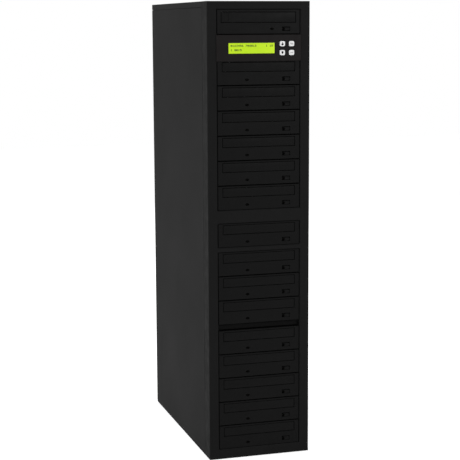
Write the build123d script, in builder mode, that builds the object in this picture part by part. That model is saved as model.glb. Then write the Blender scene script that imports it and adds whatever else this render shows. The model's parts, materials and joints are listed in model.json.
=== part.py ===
from build123d import *
import os

# CD and DVD duplicator tower: a reader, a control panel and fifteen writers in one case.
# Millimetres, +Z up, +X to the right, the front faces -Y.
# The origin is on the floor, under the middle of the case.

# ---------------------------------------------------------------- case
case_width = 184.0
case_depth = 393.0  # bezel face to the rear flanges of the side covers
sheet = 1.2
foot_height = 5.0
foot_radius = 11.0
foot_tread_radius = 10.0
foot_inset = 26.0
bezel_depth = 30.0
bezel_face = 3.0
bezel_wall = 2.0
bezel_edge = 1.5
bezel_rim = 5.0  # bezel face to the cage, at the rims of the openings
rim_width = 3.0
opening_bevel = 1.2
opening_corner = 2.2
seam = 0.8
lid_skirt = 10.0
fold = 12.0  # width of a folded flange
fit_gap = 0.5

# ---------------------------------------------------------------- bays
bay_pitch = 42.9
faceplate_width = 148.0
faceplate_gap = 1.5
faceplate_recess = 1.0
side_gap = 1.0  # faceplate to opening, at each side
end_gap = 0.5  # faceplate to opening, above and below
upper_writers = 6
middle_writers = 3
lower_writers = 5
border_top = 13.2
crossbar = 21.9
lower_bar = 7.4
member_gap = 10.2
member_height = 8.4
member_depth = 14.0
member_recess = 7.0
border_bottom = 12.6

# ---------------------------------------------------------------- drives
drive_lip = 1.0  # faceplate past the housing, at each side
drive_height = 41.0
drive_depth = 170.0
housing_wall = 1.0
cage_depth = 178.0
ledge = 4.0
ledge_sheet = 0.9
ledge_length = 130.0
ledge_setback = 20.0
door_gap = 0.4
door_back_gap = 0.1  # tray front to the housing's mouth
door_proud = 0.3
door_bevel = 0.6
writer_door_width = 130.6
writer_door_height = 15.9
writer_door_middle = 31.15  # above the bay's bottom line
reader_door_width = 133.4
reader_door_height = 17.7
reader_door_middle = 28.9
tray_width = 128.0
tray_length = 160.0
tray_thickness = 5.5
tray_lift = 4.0  # door's lower edge to the tray's underside
disc_radius = 60.0
small_disc_radius = 40.0
disc_fit = 0.6
disc_recess = 3.0
small_disc_step = 1.0
disc_margin = 6.0  # door to disc recess
hub_hole_radius = 17.0
sled_slot_width = 26.0
sled_slot_length = 52.0
thumb_notch = 12.0
runner_gap = 0.3
runner_width = 12.0
runner_height = 1.5  # guide above the tray
button_width = 14.0
button_height = 6.6
button_corner = 1.2
button_proud = 0.8
button_length = 7.0
button_gap = 0.25
button_flange = 1.2
writer_button_x = 49.5
writer_button_z = 10.4
reader_button_x = 49.3
reader_button_z = 9.3
pinhole_radius = 0.9
writer_pinhole_x = -21.3
reader_pinhole_x = 23.6
pinhole_z = 9.4
badge_width = 10.4
badge_height = 13.2
badge_recess = 0.6
badge_margin = 3.0

# ---------------------------------------------------------------- control panel
plate_width = 151.4
plate_height = 44.8
plate_drop = 1.3  # plate's middle below the bay's middle
plate_proud = 1.5
window_width = 83.4
window_height = 19.4
window_x = -12.9
window_rise = 0.3
panel_box_depth = 30.0
panel_box_wall = 2.0
display_margin = 5.3  # display module past its window, all round
display_depth = 5.0
display_recess = 0.6
key_size = 10.4
key_corner = 1.4
key_gap = 0.3
key_proud = 1.2
key_length = 4.4
key_flange = 0.8
key_flange_gap = 0.2
key_pitch_x = 16.6
key_pitch_z = 15.1
key_clear = 21.0  # window's right edge to the middle of the keys
key_drop = 0.5
board = 1.6
front_board_setback = 6.5
switch_size = 6.0
switch_gap = 1.3
main_board_depth = 96.0
chip_size = 22.0
chip_height = 2.5
chip_pitch = 44.0
chip_setback = 32.0
socket_width = 6.4
socket_depth = 12.0
socket_height = 8.0
socket_setback = 12.0

# ---------------------------------------------------------------- rear
fan_size = 80.0
fan_depth = 25.0
fan_bore = 76.0
fan_sweep_gap = 1.2
fan_hub_radius = 16.0
fan_hub_wall = 1.6
fan_blades = 7
blade_root_chord = 15.0
blade_tip_chord = 23.0
blade_thickness = 1.5
blade_root_pitch = 52.0  # from the plane of rotation
blade_tip_pitch = 32.0
motor_base = 3.0
strut_width = 5.0
bearing_radius = 4.0
shaft_radius = 1.5
shaft_gap = 0.05
lower_fan_z = 310.0
upper_fan_z = 560.0
guard_wire = 1.6
guard_ear = 6.4
guard_ring_pitch = 18.0
guard_rings = 2
psu_width = 150.0
psu_height = 86.0
psu_depth = 140.0
psu_wall = 1.0
psu_rim = 3.0
psu_fan_x = 28.0
psu_vent_slots = 8
psu_vent_width = 5.0
psu_vent_pitch = 12.0
psu_vent_height = 52.0
inlet_x = -52.0
inlet_flange_width = 31.0
inlet_flange_height = 58.0
inlet_flange = 2.0
inlet_body_width = 27.0
inlet_body_height = 50.0
inlet_body_depth = 24.0
socket_mouth_width = 24.0
socket_mouth_height = 16.4
socket_mouth_depth = 17.0
socket_mouth_corner = 4.0
socket_drop = 13.0
pin_width = 2.0
pin_height = 4.0
pin_length = 15.0
pin_spread = 7.0
pin_rise = 2.6
rocker_width = 13.0
rocker_height = 19.0
rocker_gap = 0.4
rocker_rise = 13.0
rocker_depth = 8.0
rocker_tilt = 9.0
rocker_pivot_depth = 3.0
rocker_pivot_radius = 1.5
rocker_proud = 0.4
rocker_dish = 1.4  # rise of the ends over the middle
thumbscrew_radius = 5.0
thumbscrew_head = 5.0
thumbscrew_shank = 1.75
thumbscrew_length = 6.0
thumbscrew_inset = 8.0
thumbscrew_gap = 0.3
thumbscrews_per_side = 3
thumbscrew_margin = 60.0

# ---------------------------------------------------------------- sides of prisms used for round forms
seat_sides = 24
small_seat_sides = 16
hub_hole_sides = 10
duct_sides = 24
hub_sides = 18
bearing_sides = 8
guard_sides = 12
foot_sides = 16
screw_head_sides = 10
small_sides = 6

# ---------------------------------------------------------------- levels and planes
z_lower = foot_height + border_bottom
z_middle = z_lower + lower_writers * bay_pitch + member_gap
z_single = z_middle + middle_writers * bay_pitch + lower_bar
z_upper = z_single + bay_pitch + crossbar
z_panel = z_upper + upper_writers * bay_pitch
z_reader = z_panel + bay_pitch
case_top = z_reader + bay_pitch + border_top

y_front = -case_depth / 2
y_back = case_depth / 2
y_faceplate = y_front + faceplate_recess
y_cage = y_front + bezel_rim
y_seam = y_front + bezel_depth + seam
y_tray = y_cage - door_back_gap
y_panel_out = y_back - sheet
y_panel_in = y_panel_out - sheet
y_plate = y_front - plate_proud
y_disc = y_tray + disc_margin + disc_radius + disc_fit

half_width = case_width / 2
inner_half = half_width - sheet
drive_half = faceplate_width / 2 - drive_lip
faceplate_height = bay_pitch - faceplate_gap
housing_bottom = (bay_pitch - drive_height) / 2
run_margin = faceplate_gap / 2 - end_gap
opening_half = faceplate_width / 2 + side_gap


def stack(bottom, bays):
    """Bottom lines of a run of bays, from its top bay down."""
    return [bottom + i * bay_pitch for i in reversed(range(bays))]


writer_levels = (
    stack(z_upper, upper_writers)
    + [z_single]
    + stack(z_middle, middle_writers)
    + stack(z_lower, lower_writers)
)
drive_levels = [z_reader] + writer_levels
# each opening's lower and upper edge
openings = [
    (z_upper + run_margin, z_reader + bay_pitch - run_margin),
    (z_single + run_margin, z_single + bay_pitch - run_margin),
    (z_lower + run_margin, z_middle + middle_writers * bay_pitch - run_margin),
]


def across(y):
    """Sketch plane across the tower at depth y: x to the right, y up, extruded towards the front."""
    return Plane.XZ.offset(-y)


def patch(left, right, low, high, mode=Mode.ADD):
    """Rectangle between two values on each axis of the sketch."""
    with Locations(((left + right) / 2, (low + high) / 2)):
        Rectangle(right - left, high - low, mode=mode)


def peg(radius, sides, mode=Mode.ADD):
    """Regular polygon that just fits inside a circle."""
    RegularPolygon(radius, sides, mode=mode)


def hole(radius, sides, mode=Mode.ADD):
    """Regular polygon that a circle just fits inside."""
    RegularPolygon(radius, sides, major_radius=False, mode=mode)


def keep(piece, name):
    """Label a finished piece and write it."""
    piece.part.label = name
    export_step(piece.part, f"parts/{name}.step")


os.makedirs("parts", exist_ok=True)


# ---------------------------------------------------------------- front bezel
with BuildPart() as front_bezel:
    with BuildSketch(across(y_front + bezel_depth)):
        patch(-half_width, half_width, foot_height, case_top)
    extrude(amount=bezel_depth)
    front_rim = front_bezel.faces().sort_by(Axis.Y)[0].edges()
    fillet(front_rim, bezel_edge)
    with BuildSketch(across(y_front + bezel_depth)):
        patch(
            bezel_wall - half_width,
            half_width - bezel_wall,
            foot_height + bezel_wall,
            case_top - bezel_wall,
        )
    extrude(amount=bezel_depth - bezel_face, mode=Mode.SUBTRACT)
    with BuildSketch(across(y_cage)):
        for low, high in openings:
            patch(
                -opening_half - rim_width,
                opening_half + rim_width,
                low - rim_width,
                high + rim_width,
            )
    extrude(amount=bezel_rim - bezel_face / 2)
    with BuildSketch(across(y_cage)):
        for low, high in (openings[0], openings[2]):
            patch(-opening_half, opening_half, low, high)
        with Locations((0, sum(openings[1]) / 2)):
            RectangleRounded(2 * opening_half, openings[1][1] - openings[1][0], opening_corner)
    extrude(amount=bezel_rim, mode=Mode.SUBTRACT)
    front_face = front_bezel.faces().sort_by(Axis.Y)[0]
    mouth_edges = [edge for wire in front_face.inner_wires() for edge in wire.edges()]
    chamfer(mouth_edges, opening_bevel)
keep(front_bezel, "front_bezel")


# ---------------------------------------------------------------- sheet-metal covers
cover_top = case_top - lid_skirt - seam
screw_span = cover_top - foot_height - 2 * thumbscrew_margin
screw_pitch = screw_span / (thumbscrews_per_side - 1)
screw_x = half_width - thumbscrew_inset
screw_places = [
    (side * screw_x, foot_height + thumbscrew_margin + i * screw_pitch)
    for side in (-1, 1)
    for i in range(thumbscrews_per_side)
]

with BuildPart() as left_side_cover:
    with BuildSketch(Plane.XY.offset(foot_height)):
        patch(-half_width, -inner_half, y_seam, y_back)
        patch(-half_width, fold - half_width, y_seam, y_seam + sheet)
        patch(-half_width, fold + sheet - half_width, y_back - sheet, y_back)
    extrude(amount=cover_top - foot_height)
    with BuildSketch(across(y_back)):
        with Locations(*screw_places):
            hole(thumbscrew_shank + thumbscrew_gap, small_sides)
    extrude(amount=sheet, mode=Mode.SUBTRACT)
keep(left_side_cover, "left_side_cover")

with BuildPart() as right_side_cover:
    mirror(left_side_cover.part, about=Plane.YZ)
keep(right_side_cover, "right_side_cover")

with BuildPart() as top_cover:
    with BuildSketch(across(y_back)):
        patch(-half_width, half_width, case_top - lid_skirt, case_top)
        patch(-inner_half, inner_half, case_top - lid_skirt, case_top - sheet, mode=Mode.SUBTRACT)
    extrude(amount=y_back - y_seam)
    top_edges = top_cover.faces().sort_by(Axis.Z)[-1].edges().filter_by(Axis.Y)
    fillet(top_edges, sheet)
keep(top_cover, "top_cover")

with BuildPart() as base_pan:
    with BuildSketch(across(y_panel_in)):
        patch(-inner_half, inner_half, foot_height, foot_height + sheet)
    extrude(amount=y_panel_in - y_seam - sheet)
    with BuildSketch(across(y_panel_in - fold - fit_gap)):
        for side in (-1, 1):
            edge = side * (inner_half - sheet / 2)
            patch(edge - sheet / 2, edge + sheet / 2, foot_height, foot_height + fold)
    extrude(amount=y_panel_in - fold - fit_gap - y_seam - sheet)
keep(base_pan, "base_pan")


# ---------------------------------------------------------------- rear panel
psu_bottom = foot_height + sheet
psu_middle = psu_bottom + psu_height / 2
psu_half = psu_width / 2
fan_centres = [(0, lower_fan_z), (0, upper_fan_z)]

with BuildPart() as rear_panel:
    with BuildSketch(Plane.XY.offset(foot_height)):
        patch(-inner_half, inner_half, y_panel_in, y_panel_out)
    extrude(amount=case_top - sheet - foot_height)
    with BuildSketch(Plane.XY.offset(foot_height + sheet)):
        patch(-inner_half, sheet - inner_half, y_panel_in - fold, y_panel_out)
        patch(inner_half - sheet, inner_half, y_panel_in - fold, y_panel_out)
    extrude(amount=case_top - foot_height - 2 * sheet)
    with BuildSketch(across(y_panel_out)):
        with Locations(*fan_centres):
            hole(fan_bore / 2, duct_sides)
        patch(
            psu_rim - psu_half,
            psu_half - psu_rim,
            psu_bottom + psu_rim,
            psu_bottom + psu_height - psu_rim,
        )
        with Locations(*screw_places):
            peg(thumbscrew_shank, small_sides)
    extrude(amount=sheet, mode=Mode.SUBTRACT)
keep(rear_panel, "rear_panel")


# ---------------------------------------------------------------- drive cage and cross member
cage_low = foot_height + bezel_wall + fit_gap
cage_high = case_top - bezel_wall - fit_gap
cage_outer = drive_half + sheet

with BuildPart() as drive_cage:
    with BuildSketch(Plane.XY.offset(cage_low)):
        sheet_half = half_width - bezel_wall - fit_gap
        patch(-sheet_half, sheet_half, y_cage, y_cage + sheet)
        patch(-cage_outer, -drive_half, y_cage, y_cage + cage_depth)
        patch(drive_half, cage_outer, y_cage, y_cage + cage_depth)
    extrude(amount=cage_high - cage_low)
    with BuildSketch(across(y_cage + sheet)):
        for low, high in openings:
            patch(-drive_half, drive_half, low, high)
    extrude(amount=sheet, mode=Mode.SUBTRACT)
    # feet and head of the side plates, folded outwards onto the base pan and under the top cover
    with BuildSketch(across(y_cage + cage_depth)):
        for side in (-1, 1):
            middle = side * (drive_half + fold / 2)
            patch(middle - fold / 2, middle + fold / 2, foot_height + sheet, cage_low)
            patch(middle - fold / 2, middle + fold / 2, cage_high, case_top - sheet)
    extrude(amount=y_cage + cage_depth - y_seam - sheet)
    # ledges that carry the drives and the control board
    with BuildSketch(across(y_cage + ledge_setback + ledge_length)):
        for level in drive_levels + [z_panel]:
            top = level + housing_bottom
            patch(-cage_outer, ledge - drive_half, top - ledge_sheet, top)
            patch(drive_half - ledge, cage_outer, top - ledge_sheet, top)
    extrude(amount=ledge_length)
keep(drive_cage, "drive_cage")

with BuildPart() as cross_member:
    member_low = z_middle - (member_gap + member_height) / 2
    with BuildSketch(Plane.YZ.offset(-drive_half)):
        y_member = y_front + member_recess
        patch(y_member, y_member + member_depth, member_low, member_low + member_height)
        patch(
            y_member + sheet,
            y_member + member_depth,
            member_low + sheet,
            member_low + member_height - sheet,
            mode=Mode.SUBTRACT,
        )
    extrude(amount=2 * drive_half)
keep(cross_member, "cross_member")


# ---------------------------------------------------------------- drives, drawn at the floor
class Drive:
    """Sizes of one kind of drive's front."""

    def __init__(self, door_width, door_height, door_middle, button_x, button_z, pinhole_x):
        self.door_half = door_width / 2
        self.door_low = door_middle - door_height / 2
        self.door_high = door_middle + door_height / 2
        self.button_x = button_x
        self.button_z = button_z
        self.pinhole_x = pinhole_x
        self.tray_low = self.door_low + tray_lift


writer = Drive(
    writer_door_width,
    writer_door_height,
    writer_door_middle,
    writer_button_x,
    writer_button_z,
    writer_pinhole_x,
)
reader = Drive(
    reader_door_width,
    reader_door_height,
    reader_door_middle,
    reader_button_x,
    reader_button_z,
    reader_pinhole_x,
)


def octagon(width, height, corner):
    """Rectangle with its corners cut at 45 degrees."""
    outline = Rectangle(width, height)
    chamfer(outline.vertices(), corner)


def draw_faceplate(drive):
    """Faceplate with the tray's mouth, the button's hole and the pinhole."""
    with BuildPart() as faceplate:
        with BuildSketch(across(y_cage)):
            patch(
                -faceplate_width / 2,
                faceplate_width / 2,
                faceplate_gap / 2,
                faceplate_gap / 2 + faceplate_height,
            )
        extrude(amount=y_cage - y_faceplate)
        chamfer(faceplate.faces().sort_by(Axis.Y)[0].edges(), door_bevel)
        with BuildSketch(across(y_cage)):
            patch(
                -drive.door_half - door_gap,
                drive.door_half + door_gap,
                drive.door_low - door_gap,
                drive.door_high + door_gap,
            )
            with Locations((drive.button_x, drive.button_z)):
                Rectangle(button_width + 2 * button_gap, button_height + 2 * button_gap)
            with Locations((drive.pinhole_x, pinhole_z)):
                hole(pinhole_radius, small_sides)
        extrude(amount=y_cage - y_faceplate, mode=Mode.SUBTRACT)
    return faceplate


def draw_housing(drive):
    """Housing: a sheet box open to the front, with the runners that guide the tray inside."""
    floor = housing_bottom + housing_wall
    inner = drive_half - housing_wall
    runner_top = drive.tray_low - runner_gap
    guide_top = drive.tray_low + tray_thickness + runner_height
    guide = tray_width / 2 + runner_gap
    with BuildPart() as housing:
        with BuildSketch(across(y_cage + drive_depth)):
            patch(-drive_half, drive_half, housing_bottom, housing_bottom + drive_height)
        extrude(amount=drive_depth)
        with BuildSketch(across(y_cage + drive_depth - housing_wall)):
            patch(-inner, inner, floor, housing_bottom + drive_height - housing_wall)
            for side in (-1, 1):
                middle = side * (inner - runner_width / 2)
                half = runner_width / 2
                patch(middle - half, middle + half, floor, runner_top, mode=Mode.SUBTRACT)
                middle = side * (inner + guide) / 2
                half = (inner - guide) / 2
                patch(middle - half, middle + half, floor, guide_top, mode=Mode.SUBTRACT)
        extrude(amount=drive_depth - housing_wall, mode=Mode.SUBTRACT)
    return housing


def draw_tray(drive):
    """Tray plate: seats for a large and a small disc, hub hole and the laser sled's slot."""
    top = drive.tray_low + tray_thickness
    with BuildPart() as tray:
        with BuildSketch(Plane.XY.offset(drive.tray_low)):
            patch(-tray_width / 2, tray_width / 2, y_tray, y_tray + tray_length)
        extrude(amount=tray_thickness)
        with BuildSketch(Plane.XY.offset(top - disc_recess)):
            with Locations((0, y_disc)):
                hole(disc_radius + disc_fit, seat_sides)
            for side in (-1, 1):
                middle = side * (tray_width / 2 - thumb_notch / 2)
                patch(
                    middle - thumb_notch / 2,
                    middle + thumb_notch / 2,
                    y_disc - thumb_notch,
                    y_disc + thumb_notch,
                )
        extrude(amount=disc_recess, mode=Mode.SUBTRACT)
        with BuildSketch(Plane.XY.offset(top - disc_recess - small_disc_step)):
            with Locations((0, y_disc)):
                hole(small_disc_radius + disc_fit, small_seat_sides)
        extrude(amount=small_disc_step, mode=Mode.SUBTRACT)
        with BuildSketch(Plane.XY.offset(drive.tray_low)):
            with Locations((0, y_disc)):
                hole(hub_hole_radius, hub_hole_sides)
            patch(-sled_slot_width / 2, sled_slot_width / 2, y_disc, y_disc + sled_slot_length)
        extrude(amount=tray_thickness, mode=Mode.SUBTRACT)
    return tray


def draw_door(drive):
    """Front that closes the tray's mouth."""
    with BuildPart() as door:
        with BuildSketch(across(y_tray)):
            patch(-drive.door_half, drive.door_half, drive.door_low, drive.door_high)
        extrude(amount=y_tray - y_faceplate + door_proud)
        chamfer(door.faces().sort_by(Axis.Y)[0].edges(), door_bevel)
    return door


def draw_eject_button(drive):
    """Eject button with a flange that stops it behind the faceplate."""
    back = y_faceplate - button_proud + button_length
    with BuildPart() as button:
        with BuildSketch(across(back)):
            with Locations((drive.button_x, drive.button_z)):
                octagon(button_width, button_height, button_corner)
        extrude(amount=button_length)
        chamfer(button.faces().sort_by(Axis.Y)[0].edges(), button_gap)
        with BuildSketch(across(back)):
            with Locations((drive.button_x, drive.button_z)):
                Rectangle(button_width + 2 * button_flange, button_height + 2 * button_flange)
        extrude(amount=back - y_cage - key_flange_gap)
    return button


writer_faceplate = draw_faceplate(writer)
writer_housing = draw_housing(writer)
reader_housing = draw_housing(reader)
writer_tray = draw_tray(writer)
writer_door = draw_door(writer)
writer_button = draw_eject_button(writer)

with BuildPart() as reader_faceplate:
    with Locations((0, 0, z_reader)):
        add(draw_faceplate(reader).part)
keep(reader_faceplate, "reader_faceplate")

with BuildPart() as writer_faceplates:
    with Locations(*[(0, 0, level) for level in writer_levels]):
        add(writer_faceplate.part)
keep(writer_faceplates, "writer_faceplates")

with BuildPart() as drive_housings:
    with Locations(*[(0, 0, level) for level in writer_levels]):
        add(writer_housing.part)
    with Locations((0, 0, z_reader)):
        add(reader_housing.part)
keep(drive_housings, "drive_housings")

with BuildPart() as reader_door:
    add(draw_door(reader).part)
    with BuildSketch(across(y_faceplate - door_proud + badge_recess)):
        badge_x = badge_margin + badge_width / 2 - reader.door_half
        with Locations((badge_x, reader_door_middle)):
            Rectangle(badge_width, badge_height)
    extrude(amount=badge_recess, mode=Mode.SUBTRACT)


def keep_tray(plate, door, level, name):
    """Write a tray and its front as two solids of one moving piece."""
    lift = Location((0, 0, level))
    tray = Compound(label=name, children=[plate.part.moved(lift), door.part.moved(lift)])
    export_step(tray, f"parts/{name}.step")


def keep_button(button, level, name):
    """Write an eject button at its bay."""
    with BuildPart() as lifted:
        with Locations((0, 0, level)):
            add(button.part)
    keep(lifted, name)


keep_tray(draw_tray(reader), reader_door, z_reader, "tray_reader")
keep_button(draw_eject_button(reader), z_reader, "eject_button_reader")
for number, level in enumerate(writer_levels, 1):
    keep_tray(writer_tray, writer_door, level, f"tray_writer_{number:02d}")
    keep_button(writer_button, level, f"eject_button_{number:02d}")


# ---------------------------------------------------------------- control panel
panel_middle = z_panel + bay_pitch / 2
plate_middle = panel_middle - plate_drop
window_z = plate_middle + window_rise
key_x = window_x + window_width / 2 + key_clear
key_z = plate_middle - key_drop
key_places = {
    "key_up": (key_x - key_pitch_x / 2, key_z + key_pitch_z / 2),
    "key_confirm": (key_x + key_pitch_x / 2, key_z + key_pitch_z / 2),
    "key_down": (key_x - key_pitch_x / 2, key_z - key_pitch_z / 2),
    "key_cancel": (key_x + key_pitch_x / 2, key_z - key_pitch_z / 2),
}
panel_box_inner = drive_half - panel_box_wall

with BuildPart() as control_panel:
    with BuildSketch(across(y_front)):
        with Locations((0, plate_middle)):
            Rectangle(plate_width, plate_height)
    extrude(amount=plate_proud)
    chamfer(control_panel.faces().sort_by(Axis.Y)[0].edges(), door_bevel)
    with BuildSketch(across(y_cage + panel_box_depth)):
        with Locations((0, panel_middle)):
            Rectangle(2 * drive_half, drive_height)
            Rectangle(
                2 * panel_box_inner,
                drive_height - 2 * panel_box_wall,
                mode=Mode.SUBTRACT,
            )
    extrude(amount=panel_box_depth + bezel_rim)
    with BuildSketch(across(y_front)):
        with Locations((window_x, window_z)):
            Rectangle(window_width, window_height)
        with Locations(*key_places.values()):
            octagon(key_size + 2 * key_gap, key_size + 2 * key_gap, key_corner)
    extrude(amount=plate_proud, mode=Mode.SUBTRACT)
keep(control_panel, "control_panel")

with BuildPart() as display_module:
    with BuildSketch(across(y_front + display_depth)):
        with Locations((window_x, window_z)):
            Rectangle(window_width + 2 * display_margin, window_height + 2 * display_margin)
    extrude(amount=display_depth)
    with BuildSketch(across(y_front)):
        with Locations((window_x, window_z)):
            Rectangle(window_width - 2 * key_gap, window_height - 2 * key_gap)
    extrude(amount=plate_proud - display_recess)
keep(display_module, "display_module")

with BuildPart() as control_board:
    y_board = y_front + front_board_setback
    with BuildSketch(across(y_board + board)):
        with Locations((0, panel_middle)):
            Rectangle(2 * panel_box_inner, drive_height - 2 * panel_box_wall)
    extrude(amount=board)
    with BuildSketch(across(y_board)):
        with Locations(*key_places.values()):
            Rectangle(switch_size, switch_size)
    extrude(amount=y_board - (y_plate - key_proud + key_length) - switch_gap)
    # main board, resting on the cage's ledges behind the panel's box
    y_main = y_cage + panel_box_depth + seam
    z_main = z_panel + housing_bottom
    with BuildSketch(Plane.XY.offset(z_main)):
        patch(-drive_half, drive_half, y_main, y_main + main_board_depth)
    extrude(amount=board)
    with BuildSketch(Plane.XY.offset(z_main + board)):
        with Locations((0, y_main + chip_setback)):
            with GridLocations(chip_pitch, 0, 2, 1):
                Rectangle(chip_size, chip_size)
    extrude(amount=chip_height)
    with BuildSketch(Plane.XY.offset(z_main + board)):
        socket_pitch = 2 * (drive_half - ledge) / len(drive_levels)
        with Locations((0, y_main + main_board_depth - socket_setback)):
            with GridLocations(socket_pitch, socket_depth, len(drive_levels), 1):
                Rectangle(socket_width, socket_depth)
    extrude(amount=socket_height)
keep(control_board, "control_board")

for name, place in key_places.items():
    with BuildPart() as key:
        key_back = y_plate - key_proud + key_length
        with BuildSketch(across(key_back)):
            with Locations(place):
                octagon(key_size, key_size, key_corner)
        extrude(amount=key_length)
        chamfer(key.faces().sort_by(Axis.Y)[0].edges(), key_gap)
        with BuildSketch(across(key_back)):
            with Locations(place):
                Rectangle(key_size + 2 * key_flange, key_size + 2 * key_flange)
        extrude(amount=key_back - y_front - key_flange_gap)
    keep(key, name)


# ---------------------------------------------------------------- fans
fan_places = {
    "case_fan_rotor_lower": (0, y_panel_in, lower_fan_z),
    "case_fan_rotor_upper": (0, y_panel_in, upper_fan_z),
    "psu_fan_rotor": (psu_fan_x, y_panel_in - psu_wall, psu_middle),
}
hub_inner = fan_hub_radius - fan_hub_wall
rotor_back = motor_base + fan_sweep_gap
rotor_length = fan_depth - rotor_back - fan_sweep_gap

with BuildPart() as fan_frame:
    with BuildSketch(across(0)):
        Rectangle(fan_size, fan_size)
        hole(fan_bore / 2, duct_sides, mode=Mode.SUBTRACT)
    extrude(amount=fan_depth)
    with BuildSketch(across(0)):
        with PolarLocations(fan_bore / 4, 4, start_angle=45):
            Rectangle(fan_bore / 2 + strut_width, strut_width)
        peg(hub_inner - fan_sweep_gap, hub_sides)
    extrude(amount=motor_base)
    with BuildSketch(across(0)):
        peg(bearing_radius, bearing_sides)
    extrude(amount=fan_depth - 2 * motor_base - fan_sweep_gap)
    with BuildSketch(across(0)):
        hole(shaft_radius + shaft_gap, small_sides)
    extrude(amount=fan_depth, mode=Mode.SUBTRACT)

with BuildPart() as fan_frames:
    with Locations(*fan_places.values()):
        add(fan_frame.part)
keep(fan_frames, "fan_frames")

# blade hulled from its root and tip sections, whose different pitch twists it
blade_middle = -rotor_back - rotor_length / 2
swept_radius = fan_bore / 2 - fan_sweep_gap
blade_reach = (swept_radius**2 - (blade_tip_chord / 2) ** 2) ** 0.5
blade_corners = []
for radius, chord, pitch in (
    (hub_inner, blade_root_chord, blade_root_pitch),
    (blade_reach, blade_tip_chord, blade_tip_pitch),
):
    section_plane = Plane(origin=(radius, blade_middle, 0), x_dir=(0, 0, 1), z_dir=(1, 0, 0))
    with BuildSketch(section_plane) as section:
        Rectangle(chord, blade_thickness, rotation=pitch)
    blade_corners += [corner.center() for corner in section.sketch.vertices()]

with BuildPart() as fan_blade:
    ConvexPolyhedron(blade_corners)

with BuildPart() as fan_rotor:
    for blade in range(fan_blades):
        add(fan_blade.part, rotation=(0, 360 / fan_blades * blade, 0))
    with BuildSketch(across(-rotor_back)):
        peg(fan_hub_radius, hub_sides)
    extrude(amount=rotor_length)
    with BuildSketch(across(-rotor_back)):
        peg(hub_inner, hub_sides)
        peg(shaft_radius, small_sides, mode=Mode.SUBTRACT)
    extrude(amount=rotor_length - motor_base, mode=Mode.SUBTRACT)

for name, place in fan_places.items():
    with BuildPart() as rotor:
        with Locations(place):
            add(fan_rotor.part)
    keep(rotor, name)

with BuildPart() as fan_guard:
    with BuildSketch(across(guard_wire)):
        for ring in range(guard_rings):
            radius = fan_bore / 2 - ring * guard_ring_pitch
            peg(radius + guard_wire / 2, guard_sides)
            peg(radius - guard_wire / 2, guard_sides, mode=Mode.SUBTRACT)
        inner_radius = fan_bore / 2 - (guard_rings - 1) * guard_ring_pitch
        with PolarLocations((inner_radius + fan_bore / 2) / 2, 4):
            Rectangle(fan_bore / 2 - inner_radius, guard_wire)
        with PolarLocations(fan_bore / 2 + guard_wire, 4, start_angle=45):
            Rectangle(guard_ear, guard_ear)
    extrude(amount=guard_wire)

with BuildPart() as fan_guards:
    with Locations(
        (0, y_panel_out, lower_fan_z),
        (0, y_panel_out, upper_fan_z),
        (psu_fan_x, y_panel_in, psu_middle),
    ):
        add(fan_guard.part)
keep(fan_guards, "fan_guards")


# ---------------------------------------------------------------- power supply, inlet and rocker
socket_z = psu_middle - socket_drop
rocker_z = psu_middle + rocker_rise

with BuildPart() as power_supply:
    with BuildSketch(across(y_panel_in)):
        patch(-psu_half, psu_half, psu_bottom, psu_bottom + psu_height)
    extrude(amount=psu_depth)
    with BuildSketch(across(y_panel_in - psu_wall)):
        patch(
            psu_wall - psu_half,
            psu_half - psu_wall,
            psu_bottom + psu_wall,
            psu_bottom + psu_height - psu_wall,
        )
    extrude(amount=psu_depth - 2 * psu_wall, mode=Mode.SUBTRACT)
    with BuildSketch(across(y_panel_in)):
        with Locations((psu_fan_x, psu_middle)):
            hole(fan_bore / 2, duct_sides)
        with Locations((inlet_x, psu_middle)):
            Rectangle(inlet_body_width, inlet_body_height)
    extrude(amount=psu_wall, mode=Mode.SUBTRACT)
    with BuildSketch(across(y_panel_in - psu_depth + psu_wall)):
        with Locations((0, psu_middle)):
            with GridLocations(psu_vent_pitch, 0, psu_vent_slots, 1):
                Rectangle(psu_vent_width, psu_vent_height)
    extrude(amount=psu_wall, mode=Mode.SUBTRACT)
keep(power_supply, "power_supply")

with BuildPart() as power_inlet:
    with BuildSketch(across(y_panel_in + inlet_flange)):
        with Locations((inlet_x, psu_middle)):
            Rectangle(inlet_flange_width, inlet_flange_height)
    extrude(amount=inlet_flange)
    with BuildSketch(across(y_panel_in)):
        with Locations((inlet_x, psu_middle)):
            Rectangle(inlet_body_width, inlet_body_height)
    extrude(amount=inlet_body_depth)
    with BuildSketch(across(y_panel_in + inlet_flange)):
        with Locations((inlet_x, socket_z)):
            mouth = Rectangle(socket_mouth_width, socket_mouth_height)
            chamfer(mouth.vertices().group_by(Axis.Y)[-1], socket_mouth_corner)
    extrude(amount=socket_mouth_depth, mode=Mode.SUBTRACT)
    with BuildSketch(across(y_panel_in + inlet_flange)):
        with Locations((inlet_x, rocker_z)):
            Rectangle(rocker_width + 2 * rocker_gap, rocker_height + 2 * rocker_gap)
    extrude(amount=rocker_depth, mode=Mode.SUBTRACT)
    with BuildSketch(across(y_panel_in + inlet_flange - socket_mouth_depth + pin_length)):
        with Locations(
            (inlet_x, socket_z + pin_rise),
            (inlet_x - pin_spread, socket_z - pin_rise),
            (inlet_x + pin_spread, socket_z - pin_rise),
        ):
            Rectangle(pin_width, pin_height)
    extrude(amount=pin_length)
    # journals that the rocker turns on
    pivot = (y_panel_in + inlet_flange - rocker_pivot_depth, rocker_z)
    for side in (-1, 1):
        wall_x = inlet_x + side * (rocker_width / 2 + rocker_gap)
        with BuildSketch(Plane.YZ.offset(wall_x)):
            with Locations(pivot):
                peg(rocker_pivot_radius, bearing_sides)
        extrude(amount=-side * (rocker_gap + rocker_pivot_radius))
keep(power_inlet, "power_inlet")

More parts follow.
